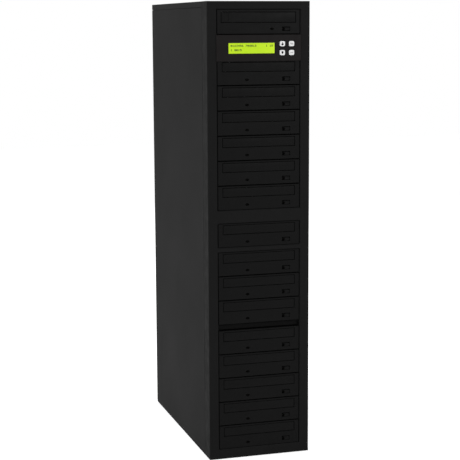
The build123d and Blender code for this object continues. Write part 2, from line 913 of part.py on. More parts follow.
with BuildPart() as mains_rocker:
    # drawn level on a plane that is tilted about the pivot, so that one end is pressed in at rest
    end = rocker_height / 2 - rocker_gap
    middle = rocker_pivot_depth + rocker_proud
    rocker_plane = Plane(
        origin=(inlet_x - rocker_width / 2, *pivot),
        x_dir=Vector(0, 1, 0).rotate(Axis.X, -rocker_tilt),
        z_dir=(1, 0, 0),
    )
    with BuildSketch(rocker_plane):
        with BuildLine():
            Polyline(
                (-rocker_pivot_depth, -end / 2),
                (0, -end),
                (middle + rocker_dish, -end),
                (middle, 0),
                (middle + rocker_dish, end),
                (0, end),
                (-rocker_pivot_depth, end / 2),
                close=True,
            )
        make_face()
        hole(rocker_pivot_radius + shaft_gap, bearing_sides, mode=Mode.SUBTRACT)
    extrude(amount=rocker_width)
keep(mains_rocker, "mains_rocker")


# ---------------------------------------------------------------- feet and thumbscrews
foot_front = y_seam + foot_inset
foot_back = y_panel_in - foot_inset
foot_side = half_width - foot_inset
with BuildPart() as rubber_foot:
    for level, radius in ((0, foot_tread_radius), (foot_height, foot_radius)):
        with BuildSketch(Plane.XY.offset(level)):
            peg(radius, foot_sides)
    loft(ruled=True)

with BuildPart() as rubber_feet:
    with Locations(
        (-foot_side, foot_front, 0),
        (foot_side, foot_front, 0),
        (-foot_side, foot_back, 0),
        (foot_side, foot_back, 0),
    ):
        add(rubber_foot.part)
keep(rubber_feet, "rubber_feet")

with BuildPart() as cover_thumbscrews:
    with BuildSketch(across(y_back + thumbscrew_head)):
        with Locations(*screw_places):
            peg(thumbscrew_radius, screw_head_sides)
    extrude(amount=thumbscrew_head)
    with BuildSketch(across(y_back)):
        with Locations(*screw_places):
            peg(thumbscrew_shank, small_sides)
    extrude(amount=thumbscrew_length)
keep(cover_thumbscrews, "cover_thumbscrews")
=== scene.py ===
import json
import math

import bmesh
import bpy
from mathutils import Matrix, Vector

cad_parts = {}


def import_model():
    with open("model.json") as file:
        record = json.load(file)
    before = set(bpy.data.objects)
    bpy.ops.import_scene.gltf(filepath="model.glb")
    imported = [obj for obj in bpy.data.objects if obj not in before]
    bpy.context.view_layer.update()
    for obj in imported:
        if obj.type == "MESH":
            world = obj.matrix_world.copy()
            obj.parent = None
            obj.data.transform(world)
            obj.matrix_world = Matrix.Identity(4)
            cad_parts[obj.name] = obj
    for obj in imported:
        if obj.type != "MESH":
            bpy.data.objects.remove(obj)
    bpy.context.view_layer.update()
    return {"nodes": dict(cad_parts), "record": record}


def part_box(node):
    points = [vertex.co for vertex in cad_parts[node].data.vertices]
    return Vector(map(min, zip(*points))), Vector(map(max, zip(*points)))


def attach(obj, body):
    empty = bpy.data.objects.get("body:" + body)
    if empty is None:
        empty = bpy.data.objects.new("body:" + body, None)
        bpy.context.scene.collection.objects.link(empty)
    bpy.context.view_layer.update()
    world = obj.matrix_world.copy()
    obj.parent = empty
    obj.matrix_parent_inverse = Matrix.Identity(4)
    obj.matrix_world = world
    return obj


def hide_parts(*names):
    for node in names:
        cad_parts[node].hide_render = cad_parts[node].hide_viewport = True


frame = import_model()

mm = 0.001
white = (1.0, 1.0, 1.0, 1.0)
no_tint = (1.0, 1.0, 1.0)
noise_range = (0.3, 0.7)


# ---------------------------------------------------------------- shader arithmetic
class Link:
    """A shader socket that takes part in Python arithmetic by adding Math nodes."""

    def __init__(self, tree, socket):
        self.tree = tree
        self.socket = socket

    def _math(self, operation, *values):
        made = self.tree.node("ShaderNodeMath", {"operation": operation}, enumerate(values))
        return Link(self.tree, made.outputs[0])

    def __add__(self, other):
        return self._math("ADD", self, other)

    def __radd__(self, other):
        return self._math("ADD", other, self)

    def __sub__(self, other):
        return self._math("SUBTRACT", self, other)

    def __rsub__(self, other):
        return self._math("SUBTRACT", other, self)

    def __mul__(self, other):
        return self._math("MULTIPLY", self, other)

    def __rmul__(self, other):
        return self._math("MULTIPLY", other, self)

    def __truediv__(self, other):
        return self._math("DIVIDE", self, other)

    def __lt__(self, other):
        return self._math("LESS_THAN", self, other)

    def __gt__(self, other):
        return self._math("GREATER_THAN", self, other)

    def part(self):
        """The fraction part, for patterns that repeat."""
        return self._math("FRACT", self)

    def size(self):
        """Its distance from zero."""
        return self._math("ABSOLUTE", self)

    def largest(self, other):
        """The larger of two values."""
        return self._math("MAXIMUM", self, other)


class Tree:
    """The nodes of a material or of the world, all made by one method."""

    def __init__(self, owner):
        owner.use_nodes = True
        self.nodes = owner.node_tree.nodes
        self.links = owner.node_tree.links

    def node(self, kind, settings=(), inputs=()):
        """A node with its settings, such as an operation, then the values or links of its sockets."""
        made = self.nodes.new(kind)
        for key, value in dict(settings).items():
            setattr(made, key, value)
        for key, value in dict(inputs).items():
            self.feed(made.inputs[key], value)
        return made

    def feed(self, socket, value):
        """Link a socket, or set its plain value."""
        if isinstance(value, Link):
            self.links.new(value.socket, socket)
        else:
            socket.default_value = value

    def remap(self, value, low, high, new_low=0.0, new_high=1.0):
        """A value's stretch from low to high, moved to a new stretch and held at its ends."""
        ends = {1: low, 2: high, 3: new_low, 4: new_high}
        made = self.node("ShaderNodeMapRange", inputs={0: value, **ends})
        return Link(self, made.outputs[0])

    def looked_at(self):
        """1 on what is seen straight, in a reflection or through glass, otherwise 0."""
        path = self.node("ShaderNodeLightPath")
        straight, reflected, through = (
            Link(self, path.outputs[ray])
            for ray in ("Is Camera Ray", "Is Glossy Ray", "Is Transmission Ray")
        )
        return straight.largest(reflected).largest(through)


class Shade(Tree):
    """One material: its Principled shader and the patterns it is made from."""

    def __init__(self, name, roughness=0.5, metallic=0.0, specular=0.5):
        self.material = bpy.data.materials.new(name)
        super().__init__(self.material)
        self.surface = self.nodes["Principled BSDF"]
        self.give("Roughness", roughness)
        self.give("Metallic", metallic)
        self.give("Specular IOR Level", specular)
        place = self.node("ShaderNodeTexCoord")
        self.place = Link(self, place.outputs["Object"])
        split = self.node("ShaderNodeSeparateXYZ", inputs={0: self.place})
        self.x, self.y, self.z = (Link(self, out) for out in split.outputs)

    def give(self, socket, value):
        """Set or link a socket of the Principled shader."""
        self.feed(self.surface.inputs[socket], value)

    def stretch(self, scale):
        """Object coordinates scaled differently along each axis."""
        made = self.node("ShaderNodeMapping", inputs={"Vector": self.place, "Scale": scale})
        return Link(self, made.outputs[0])

    def noise(self, grain, detail=3.0, place=None):
        """Noise from 0 to 1 with features about grain metres across."""
        sizes = {"Vector": place or self.place, "Scale": 1 / grain, "Detail": detail}
        made = self.node("ShaderNodeTexNoise", inputs=sizes)
        return Link(self, made.outputs[0])

    def cells(self, grain, output="Distance"):
        """Cells about grain metres across."""
        made = self.node("ShaderNodeTexVoronoi", inputs={"Vector": self.place, "Scale": 1 / grain})
        return Link(self, made.outputs[output])

    def sway(self, noise, middle, swing):
        """A number that sways about its middle as noise crosses its usual range."""
        return self.remap(noise, *noise_range, middle - swing, middle + swing)

    def mix(self, share, first, second):
        """Colour between two colours."""
        made = self.node(
            "ShaderNodeMix", {"data_type": "RGBA"}, {0: share, 6: first, 7: second}
        )
        return Link(self, made.outputs[2])

    def between(self, share, first, second):
        """Colour between two plain colours, each three numbers."""
        return self.mix(share, (*first, 1.0), (*second, 1.0))

    def tones(self, share, tone, swing, tint=no_tint):
        """Colour from a little darker to a little paler than a tone."""
        return self.between(share, grey((1 - swing) * tone, tint), grey((1 + swing) * tone, tint))

    def colour(self, value):
        self.give("Base Color", value)

    def rough(self, value):
        self.give("Roughness", value)

    def bump(self, height, depth):
        """Relief of a height from 0 to 1 over depth metres."""
        made = self.node(
            "ShaderNodeBump", inputs={"Strength": 1.0, "Distance": depth, "Height": height}
        )
        self.give("Normal", Link(self, made.outputs[0]))


def grey(value, tint=no_tint):
    """A grey as three numbers, or a tinted one."""
    return tuple(value * t for t in tint)


# ---------------------------------------------------------------- finishes
def moulded_plastic(name, tone, tint=no_tint, grain=0.7 * mm, roughness=0.5, specular=0.1):
    """Spark-eroded plastic: fine pits, faint flow marks and rubbed patches."""
    shade = Shade(name, specular=specular)
    pits = shade.noise(grain, detail=2.0)
    flow = shade.noise(60 * mm, detail=4.0)
    rubbed = shade.noise(14 * mm, detail=5.0)
    shade.colour(shade.tones(flow * 0.4 + pits * 0.6, tone, 0.18, tint))
    shade.rough(shade.sway(rubbed, roughness, 0.08))
    shade.bump(pits, 0.04 * mm)
    return shade.material


def powder_coat(name, tone, roughness=0.72, specular=0.04):
    """Baked powder paint: orange peel over a fine sandy texture, with a trace of dust."""
    shade = Shade(name, specular=specular)
    peel = shade.noise(2.2 * mm, detail=2.0)
    sand = shade.cells(0.55 * mm)
    dust = shade.noise(130 * mm, detail=6.0)
    shade.colour(shade.tones(dust * 0.35 + sand * 0.65, tone, 0.12))
    shade.rough(shade.sway(dust, roughness, 0.03))
    shade.bump(peel * 0.6 + sand * 0.4, 0.04 * mm)
    return shade.material


def zinc_sheet(name, tone=0.4, shaded_loader_back=None):
    """Rolled zinc-plated steel: drawn grain along the sheet and soft spangle.

    On a drive housing, what lies in front of shaded_loader_back is painted near-black and non-metal:
    painted shade where the drive cage shades the housing, standing also for the loader's black plastic
    frame.
    """
    shade = Shade(name, metallic=1.0)
    cool = (1.0, 1.01, 1.03)
    drawn = shade.noise(1.0 * mm, detail=4.0, place=shade.stretch((1.0, 0.04, 1.0)))
    spangle = shade.cells(9 * mm, output="Color") * 0.35
    cloud = shade.noise(40 * mm) * 0.65
    steel = shade.between(cloud + spangle, grey(0.8 * tone, cool), grey(1.2 * tone))
    roughness = shade.remap(drawn, 0.25, 0.75, 0.28, 0.46)
    if shaded_loader_back:
        # Painted shade, partly real: the housing's front in the cage's shade turns near-black, which also
        # stands for the loader's black plastic frame.
        plastic = shade.y < shaded_loader_back
        shaded_loader_black = (*grey(0.003), 1.0)
        steel = shade.mix(plastic, steel, shaded_loader_black)
        roughness = roughness + plastic * 0.4
        shade.give("Metallic", 1 - plastic)
        shade.give("Specular IOR Level", 0.02)
    shade.colour(steel)
    shade.rough(roughness)
    shade.bump(drawn, 0.01 * mm)
    return shade.material


def bright_metal(name, tone, tint=no_tint, roughness=0.2):
    """Bright-plated metal with drawing lines."""
    shade = Shade(name, metallic=1.0)
    lines = shade.noise(0.8 * mm, detail=3.0)
    shade.colour(shade.tones(lines, tone, 0.1, tint))
    shade.rough(shade.sway(lines, roughness, 0.06))
    shade.bump(lines, 0.005 * mm)
    return shade.material


def soft_rubber(name):
    """Black rubber with a chalky bloom."""
    shade = Shade(name, specular=0.3)
    bloom = shade.noise(7 * mm, detail=5.0)
    shade.colour(shade.between(bloom, grey(0.012), grey(0.03)))
    shade.rough(shade.sway(bloom, 0.81, 0.09))
    shade.bump(shade.noise(0.9 * mm), 0.05 * mm)
    return shade.material


def solder_mask(name):
    """Green board with a grid of tracks under the mask."""
    shade = Shade(name, roughness=0.35)
    pitch = 2.54 * mm
    half_track = 0.14
    across = ((shade.x / pitch).part() - 0.5).size() < half_track
    along = ((shade.y / pitch + shade.z / pitch).part() - 0.5).size() < half_track
    patches = shade.noise(17 * mm, detail=0.0) > 0.5
    tracks = (across * patches).largest(along * (1 - patches))
    shade.colour(shade.between(tracks, (0.012, 0.085, 0.03), (0.03, 0.16, 0.06)))
    shade.bump(tracks, 0.03 * mm)
    return shade.material


def backlit_glass(name, low, high, frame_right=6.5 * mm, frame_top=6.9 * mm):
    """Yellow-green display in a black frame, brighter at its lamps' ends, with faint cells."""
    shade = Shade(name, roughness=0.3, specular=0.2)
    columns, rows = 26, 5
    cell_edge = 0.43
    leaf, lime = (0.42, 0.66, 0.006), (0.52, 0.74, 0.012)
    cell_line = (0.6, 0.8, 0.03, 1.0)
    frame_black = (*grey(0.002), 1.0)
    width, height = high.x - low.x, high.z - low.z
    side = ((shade.x - (low.x + high.x) / 2) / (width / 2)).size()
    cell_x = (((shade.x - low.x) / (width / columns)).part() - 0.5).size()
    cell_z = (((shade.z - low.z) / (height / rows)).part() - 0.5).size()
    grid = (cell_x > cell_edge).largest(cell_z > cell_edge)
    speckle = shade.noise(1.2 * mm, detail=2.0)
    glow = shade.remap(side, 0.2, 1.0) * 0.5 + speckle * 0.5
    lit = shade.mix(grid * 0.1, shade.between(glow, leaf, lime), cell_line)
    beyond = (shade.x > high.x - frame_right).largest(shade.z > high.z - frame_top)
    lit = shade.mix(beyond, lit, frame_black)
    shade.colour(lit)
    shade.give("Emission Color", lit)
    shade.give("Emission Strength", 0.27)
    shade.bump(speckle, 0.004 * mm)
    return shade.material


def key_cap(name):
    """Off-white key plastic, faintly greyed where fingers land."""
    shade = Shade(name, specular=0.4)
    touched = shade.noise(5 * mm, detail=4.0)
    shade.colour(shade.between(touched, grey(0.84), grey(0.93)))
    shade.rough(shade.sway(touched, 0.42, 0.08))
    shade.bump(shade.noise(0.6 * mm), 0.02 * mm)
    return shade.material


def ink_and_painted_shade(name, tone, tint=no_tint):
    """Flat colour thin enough to let what is under it through in places: printed ink, and the painted shade
    of screw recesses and slots.
    """
    shade = Shade(name, roughness=0.5, specular=0.2)
    thin = shade.noise(0.5 * mm)
    shade.colour(shade.tones(thin, tone, 0.2, tint))
    return shade.material


def smoked_lens_and_shade_black(name):
    """Dark clear plastic over an activity lamp, with moulding ripples; the same near-black serves as
    painted shade on key and button flanges and at an eject button's left end.
    """
    shade = Shade(name, roughness=0.5, specular=0.01)
    ripple = shade.noise(0.9 * mm, detail=1.0)
    shade.colour(shade.between(ripple, (0.0004, 0.0004, 0.0004), (0.0012, 0.001, 0.0008)))
    shade.bump(ripple, 0.01 * mm)
    return shade.material


display_low, display_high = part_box("display_module")
finishes = {
    "bezel_plastic": moulded_plastic("bezel_plastic", 0.0132, roughness=0.62, specular=0.015),
    "case_paint": powder_coat("case_paint", 0.0096),
    "bare_steel": zinc_sheet("bare_steel"),
    "black_steel": powder_coat("black_steel", 0.006),
    "drive_plastic": moulded_plastic("drive_plastic", 0.0052, grain=0.5 * mm, specular=0.055),
    "panel_plastic": moulded_plastic("panel_plastic", 0.0092, (1.1, 0.95, 0.95), specular=0.06),
    "display": backlit_glass("display_glass", display_low, display_high),
    "circuit_board": solder_mask("circuit_board"),
    "inlet_plastic": moulded_plastic("inlet_plastic", 0.008, roughness=0.4, specular=0.25),
    "fan_plastic": moulded_plastic("fan_plastic", 0.011, roughness=0.42, specular=0.25),
    "guard_wire": bright_metal("guard_wire", 0.74),
    "foot_rubber": soft_rubber("foot_rubber"),
    "screw_metal": bright_metal("screw_metal", 0.6, roughness=0.3),
    "key_plastic": key_cap("key_cap"),
}
key_ink = ink_and_painted_shade("key_ink", 0.004)
key_ink_faint = ink_and_painted_shade("key_ink_faint", 0.22)
display_ink = ink_and_painted_shade("display_ink", 0.014, (0.6, 1.8, 1.1))
switch_ink = ink_and_painted_shade("switch_ink", 0.75)
lens = smoked_lens_and_shade_black("smoked_lens_and_shade_black")
pin_brass = bright_metal("pin_brass", 0.68, (1.0, 0.92, 0.72), roughness=0.25)
# Painted shade: a flat dark colour standing for the shade inside screw recesses and slots.
painted_recess_shade = ink_and_painted_shade("painted_recess_shade", 0.01)

# Ahead of this depth each drive housing is painted near-black: painted shade inside the cage, also standing
# for the loader's black plastic frame.
shaded_loader_back = -150 * mm
node_finishes = {"drive_housings": zinc_sheet("housing_steel_shaded_front", shaded_loader_back=shaded_loader_back)}
slot_of = {row["node"]: row["material_slot"] for row in frame["record"]["subparts"]}
joint_of = {joint["child"]: joint for joint in frame["record"]["behaviour"]["joints"]}
for node, piece in frame["nodes"].items():
    piece.data.materials.clear()
    piece.data.materials.append(node_finishes.get(node, finishes[slot_of[node]]))


# ---------------------------------------------------------------- making pieces
def to_object(mesh, name):
    """Turn a bmesh into an object at the origin."""
    bmesh.ops.remove_doubles(mesh, verts=mesh.verts, dist=0.001 * mm)
    bmesh.ops.recalc_face_normals(mesh, faces=mesh.faces)
    data = bpy.data.meshes.new(name)
    mesh.to_mesh(data)
    mesh.free()
    made = bpy.data.objects.new(name, data)
    bpy.context.scene.collection.objects.link(made)
    return made


def piece_from(mesh, name, material, body, replaced=None, smooth=True):
    """Turn a bmesh into a piece of the tower that rides on a body."""
    made = to_object(mesh, name)
    made.data.materials.append(material)
    if smooth:
        made.data.shade_smooth()
        made.data.set_sharp_from_angle(angle=math.radians(32))
    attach(made, body)
    if replaced:
        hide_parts(replaced)
    return made


def painted_shade_parts(part):
    """Give a small bmesh the second, near-black material of its piece: painted shade on the flanges behind
    the gaps round keys and buttons, and on the dark oval at an eject button's left end.
    """
    for face in part.faces:
        face.material_index = 1
    return part


def carve(mesh, cutter):
    """Cut one closed mesh out of another and return what is left."""
    body, tool = to_object(mesh, "carved"), to_object(cutter, "cutter")
    cut = body.modifiers.new("cut", "BOOLEAN")
    cut.object = tool
    left = bmesh.new()
    left.from_object(body, bpy.context.evaluated_depsgraph_get())
    for used in (body, tool):
        bpy.data.objects.remove(used)
    return left


def block(mesh, low, high, round_by=0.0, segments=2):
    """A box between two corners with its edges rounded."""
    low, high = Vector(low), Vector(high)
    turn = Matrix.Translation((low + high) / 2) @ Matrix.Diagonal((*(high - low), 1.0))
    made = bmesh.ops.create_cube(mesh, size=1.0, matrix=turn)
    if round_by:
        edges = {edge for vert in made["verts"] for edge in vert.link_edges}
        round_edges(mesh, edges, round_by, segments)
    return made["verts"]


def round_edges(mesh, edges, by, segments):
    """Round edges off by a distance."""
    bmesh.ops.bevel(
        mesh, geom=list(edges), offset=by, offset_type="OFFSET", segments=segments,
        profile=0.5, affect="EDGES", material=-1,
    )


def rod(mesh, start, end, radius, segments=12):
    """Round bar between two points."""
    along = Vector(end) - Vector(start)
    turn = along.to_track_quat("Z", "Y").to_matrix().to_4x4()
    bmesh.ops.create_cone(
        mesh, cap_ends=True, segments=segments, radius1=radius, radius2=radius,
        depth=along.length, matrix=Matrix.Translation(Vector(start) + along / 2) @ turn,
    )


def round_cutter(start, end, radius, segments):
    """Cutter: a round bar between two points."""
    mesh = bmesh.new()
    rod(mesh, start, end, radius, segments)
    return mesh


def add_part(mesh, part, place):
    """Move a small bmesh into place and add it to a larger one."""
    bmesh.ops.transform(part, matrix=place, verts=part.verts)
    bmesh.ops.remove_doubles(part, verts=part.verts, dist=0.001 * mm)
    bmesh.ops.recalc_face_normals(part, faces=part.faces)
    data = bpy.data.meshes.new("part")
    part.to_mesh(data)
    part.free()
    mesh.from_mesh(data)
    bpy.data.meshes.remove(data)


def turned(mesh, place, profile, steps=32):
    """Spin a profile of (radius, height) points, in millimetres, about a placement's Z."""
    part = bmesh.new()
    verts = [part.verts.new((radius * mm, 0, height * mm)) for radius, height in profile]
    edges = [part.edges.new(pair) for pair in zip(verts, verts[1:])]
    bmesh.ops.spin(
        part, geom=verts + edges, cent=(0, 0, 0), axis=(0, 0, 1),
        angle=2 * math.pi, steps=steps, use_merge=True,
    )
    add_part(mesh, part, place)


def facing_back(place, turn=0.0):
    """Placement that points a piece's Z at the back of the tower, +Y."""
    tip = Matrix.Rotation(math.radians(-90), 4, "X") @ Matrix.Rotation(turn, 4, "Z")
    return Matrix.Translation(place) @ tip


def facing_front(place):
    """Placement that points a piece's Z at the front of the tower, -Y."""
    return Matrix.Translation(place) @ Matrix.Rotation(math.radians(90), 4, "X")


def facing_down(place):
    """Placement that points a piece's Z at the floor."""
    return Matrix.Translation(place) @ Matrix.Rotation(math.pi, 4, "X")


# ---------------------------------------------------------------- keys, buttons, tray fronts
def cap(mesh, low, high, corner, rim, rim_segments=3):
    """Block with rounded uprights and a rounded front rim, and its front face."""
    verts = block(mesh, low, high)
    depth = high[1] - low[1]
    edges = {edge for vert in verts for edge in vert.link_edges}
    uprights = [edge for edge in edges if abs(edge.verts[0].co.y - edge.verts[1].co.y) > depth / 2]
    round_edges(mesh, uprights, corner, 6)
    mesh.faces.ensure_lookup_table()
    front = min(mesh.faces, key=lambda face: face.calc_center_median().y)
    round_edges(mesh, front.edges, rim, rim_segments)
    return min(mesh.faces, key=lambda face: face.calc_center_median().y)


def dish(mesh, face, steps, width, depth):
    """Sink a face in steps, deepest in the middle."""
    for step in range(steps):
        fall = depth * (steps - step) / (steps * (steps + 1) / 2)
        bmesh.ops.inset_region(mesh, faces=[face], thickness=width, depth=-fall, use_even_offset=True)


def flange_of(low, high, depth):
    """Flange that holds a key or a button behind its opening; it is near-black, painted shade in the gap
    round the opening.
    """
    flange = bmesh.new()
    block(flange, (low.x, high.y - depth, low.z), high, 0.2 * mm, 1)
    return painted_shade_parts(flange)


key_inset = Vector((1.3 * mm, 0, 1.3 * mm))
key_drop = Vector((0, 0, 0.5 * mm))
ink_height = 0.03 * mm


def key_piece(node, mark, ink):
    """Rounded key cap on its flange, and its mark."""
    low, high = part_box(node)
    mesh = bmesh.new()
    cap(mesh, low + key_inset, high - key_inset - key_drop, corner=2.4 * mm, rim=0.6 * mm)
    add_part(mesh, flange_of(low, high, 1.4 * mm), Matrix())
    made = piece_from(mesh, node + "_cap", finishes["key_plastic"], node, node)
    # The flange behind the cap takes this near-black as painted shade in the gap round the key.
    made.data.materials.append(lens)
    mesh = bmesh.new()
    mark(mesh, (low + high - key_drop) / 2, low.y)
    piece_from(mesh, node + "_mark", ink, node, smooth=False)


def printed_bar(mesh, face, low_x, high_x, low_z, high_z):
    """Flat bar of ink on a face that looks forward."""
    block(mesh, (low_x, face - ink_height, low_z), (high_x, face + ink_height, high_z))


def arrow(point):
    """Mark: a stout arrow that points up (1) or down (-1)."""
    head, half_stem, stem_length = 2.8 * mm, 1.2 * mm, 2.6 * mm
    drop = 0.1 * mm

    def draw(mesh, middle, face):
        place = facing_front((middle.x, face, middle.z - point * drop))
        turn = place @ Matrix.Rotation(math.radians(90 - 90 * point), 4, "Z")
        bmesh.ops.create_cone(
            mesh, cap_ends=True, segments=3, radius1=head, radius2=head,
            depth=2 * ink_height, matrix=turn,
        )
        stem_low, stem_high = sorted((middle.z, middle.z - point * stem_length))
        printed_bar(mesh, face, middle.x - half_stem, middle.x + half_stem, stem_low, stem_high)

    return draw


def bars(count):
    """Mark: short level bars one above the other."""
    half_width, half_height, step = 2.7 * mm, 0.4 * mm, 1.5 * mm

    def draw(mesh, middle, face):
        for bar in range(count):
            z = middle.z + (bar - (count - 1) / 2) * step
            low_x, high_x = middle.x - half_width, middle.x + half_width
            printed_bar(mesh, face, low_x, high_x, z - half_height, z + half_height)

    return draw


key_piece("key_up", arrow(1), key_ink)
key_piece("key_down", arrow(-1), key_ink)
key_piece("key_confirm", bars(2), key_ink_faint)
key_piece("key_cancel", bars(1), key_ink_faint)


def eject_button(node):
    """Eject button with round ends and a dished face; its flange and a dark oval at its left end are
    near-black, painted shade where that end and the gap round it show dark.
    """
    low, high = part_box(node)
    edge, drop = 1.6 * mm, 0.4 * mm
    inset = Vector((edge, 0, edge))
    mesh = bmesh.new()
    face = cap(
        mesh, low + inset, high - inset - Vector((0, 0, drop)), corner=2.4 * mm, rim=0.5 * mm
    )
    dish(mesh, face, steps=3, width=0.55 * mm, depth=0.5 * mm)
    from_edge = 2.1 * mm
    middle = (low.x + edge + from_edge, low.y, (low.z + high.z) / 2 - drop)
    taller = Matrix.Diagonal((1.0, 1.2, 1.0, 1.0))
    rim = [(0, 0.12), (1.75, 0.12), (2.0, 0), (2.0, -1.2), (0, -1.2)]
    # Near-black oval at the button's left end: painted shade where that end shows dark.
    left_end_shade = bmesh.new()
    turned(left_end_shade, facing_front(middle) @ taller, rim, 24)
    add_part(mesh, flange_of(low, high, 2.3 * mm), Matrix())
    add_part(mesh, painted_shade_parts(left_end_shade), Matrix())
    name = node + "_cap"
    made = piece_from(mesh, name, finishes["drive_plastic"], node, node)
    # The flange and the left-end oval take this near-black as painted shade.
    made.data.materials.append(lens)


writers = [name.removeprefix("tray_writer_") for name in frame["nodes"] if "tray_writer_" in name]
drives = ["reader"] + sorted(writers)
for drive in drives:
    eject_button("eject_button_" + drive)


def pinhole_surrounds():
    """Dark oblong surround of each drive's pinhole, with the hole left open."""
    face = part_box("writer_faceplates")[0].y
    writer_offset = (70.8 * mm, 1.0 * mm)
    offsets = {"reader": (25.7 * mm, 0.0)}
    oblong = Matrix.Diagonal((1.7, 1.05, 1.0, 1.0))
    rim = [(0.9, -0.4), (0.9, 0.08), (1.0, 0.16), (1.85, 0.16), (2.0, 0.0), (2.0, -0.3), (0.9, -0.4)]
    mesh = bmesh.new()
    for drive in drives:
        low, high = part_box("eject_button_" + drive)
        aside, drop = offsets.get(drive, writer_offset)
        place = ((low.x + high.x) / 2 - aside, face, (low.z + high.z) / 2 - drop)
        turned(mesh, facing_front(place) @ oblong, rim, steps=28)
    piece_from(mesh, "pinhole_surrounds", lens, "case")


pinhole_surrounds()


# ---------------------------------------------------------------- trays
def tray(node):
    """Disc tray: stepped round seats, hub hole, sled slot, finger notches and its front."""
    low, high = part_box(node)
    front_depth, plate_height = 4.2 * mm, 5.5 * mm
    half_width = 64.0 * mm
    bottom = low.z + 4.0 * mm
    top = bottom + plate_height
    start = low.y + front_depth
    seat_y = start + 66.6 * mm
    seat_radius, small_seat_radius, hub_radius = 60.6 * mm, 40.6 * mm, 17.0 * mm
    seat_depth, small_seat_depth, clear = 3.0 * mm, 4.0 * mm, 3.0 * mm
    mesh = bmesh.new()
    block(mesh, (-half_width, start, bottom), (half_width, high.y, top), 0.6 * mm)
    for radius, base, segments in (
        (seat_radius, top - seat_depth, 128),
        (small_seat_radius, top - small_seat_depth, 96),
        (hub_radius, bottom - clear, 64),
    ):
        cutter = round_cutter((0, seat_y, base), (0, seat_y, top + clear), radius, segments)
        mesh = carve(mesh, cutter)
    half_slot, slot_length = 13.0 * mm, 52.0 * mm
    slot = bmesh.new()
    slot_high = (half_slot, seat_y + slot_length, top + clear)
    block(slot, (-half_slot, seat_y, bottom - clear), slot_high, 2.0 * mm, 4)
    mesh = carve(mesh, slot)
    notch_reach = Vector((12.0 * mm, 12.0 * mm, seat_depth))
    for side in (-1, 1):
        middle = Vector((side * half_width, seat_y, top))
        notch = bmesh.new()
        block(notch, middle - notch_reach, middle + notch_reach, 1.0 * mm, 3)
        mesh = carve(mesh, notch)
    ribs, rib_step, rib_width, rib_height = 6, 4.0 * mm, 1.2 * mm, 0.5 * mm
    half_rib, first_rib, sunk = 50.0 * mm, seat_y + 66.0 * mm, 0.1 * mm
    for rib in range(ribs):
        y = first_rib + rib * rib_step
        rib_high = (half_rib, y + rib_width, top + rib_height)
        block(mesh, (-half_rib, y, top - sunk), rib_high, 0.2 * mm, 1)
    slack, set_back = 0.3 * mm, 0.4 * mm
    front_low = low + Vector((slack, set_back, slack))
    front_high = Vector((high.x - slack, start, high.z - slack))
    front = bmesh.new()
    cap(front, front_low, front_high, corner=1.0 * mm, rim=0.8 * mm)
    if node == "tray_reader":
        recess_low = low + Vector((3.0 * mm, -1.0 * mm, 2.2 * mm))
        recess_size = Vector((10.4 * mm, 2.0 * mm, 13.2 * mm))
        recess = bmesh.new()
        block(recess, recess_low, recess_low + recess_size)
        front = carve(front, recess)
    add_part(mesh, front, Matrix())
    return mesh


def tray_pieces():
    """The reader's tray, and one writer's tray copied to every writer's bay."""
    piece_from(
        tray("tray_reader"), "tray_reader_plate", finishes["drive_plastic"], "tray_reader",
        "tray_reader",
    )
    first = "tray_writer_" + drives[1]
    pattern = tray(first)
    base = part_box(first)[0].z
    for drive in drives[1:]:
        node = "tray_writer_" + drive
        mesh = pattern.copy()
        bmesh.ops.translate(mesh, verts=mesh.verts, vec=(0, 0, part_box(node)[0].z - base))
        piece_from(mesh, node + "_plate", finishes["drive_plastic"], node, node)
    pattern.free()


tray_pieces()


# ---------------------------------------------------------------- display characters
def display_characters():
    """Two rows of dot-matrix digits."""
    digits = {
        "0": "01110 10001 10011 10101 11001 10001 01110",
        "1": "00100 01100 00100 00100 00100 00100 01110",
        "2": "01110 10001 00001 00110 01000 10000 11111",
        "3": "11111 00010 00100 00010 00001 10001 01110",
        "4": "00010 00110 01010 10010 11111 00010 00010",
        "5": "11111 10000 11110 00001 00001 10001 01110",
        "6": "00110 01000 10000 11110 10001 10001 01110",
        "7": "11111 00001 00010 00100 01000 01000 01000",
        "8": "01110 10001 10001 01110 10001 10001 01110",
        "9": "01110 10001 10001 01111 00001 00010 01100",
        " ": "00000 00000 00000 00000 00000 00000 00000",
    }
    rows = ("0123456 789012     1 15", "1 0015")
    dot_width, dot_height = 0.54 * mm, 0.44 * mm
    stroke = 1.4
    sign_step, row_step = 3.3 * mm, 7.2 * mm
    border = 5.3 * mm
    left = display_low.x + border + 3.9 * mm
    top = display_high.z - border - 4.6 * mm
    near, far = display_low.y - 0.04 * mm, display_low.y + 0.02 * mm
    mesh = bmesh.new()
    for row, text in enumerate(rows):
        for column, sign in enumerate(text):
            for line, dots in enumerate(digits[sign].split()):
                for step, lit in enumerate(dots):
                    if lit == "1":
                        x = left + column * sign_step + step * dot_width
                        z = top - row * row_step - line * dot_height
                        low = (x, near, z - dot_height * stroke)
                        block(mesh, low, (x + dot_width * stroke, far, z))
    piece_from(mesh, "display_characters", display_ink, "case", smooth=False)


display_characters()


# ---------------------------------------------------------------- fans and guards
fans = [node for node in frame["nodes"] if node.endswith("_rotor") or "_rotor_" in node]
fan_bore = 38.0 * mm
fan_depth = 25.0 * mm
screw_spread = 35.75 * mm


def fan_axis(node):
    """Where a fan's axis comes out at its back."""
    return Vector(joint_of[node]["pos_m"])


def diagonal_angles():
    """The four directions of a fan's corners, in radians."""
    return [math.radians(45 + 90 * corner) for corner in range(4)]


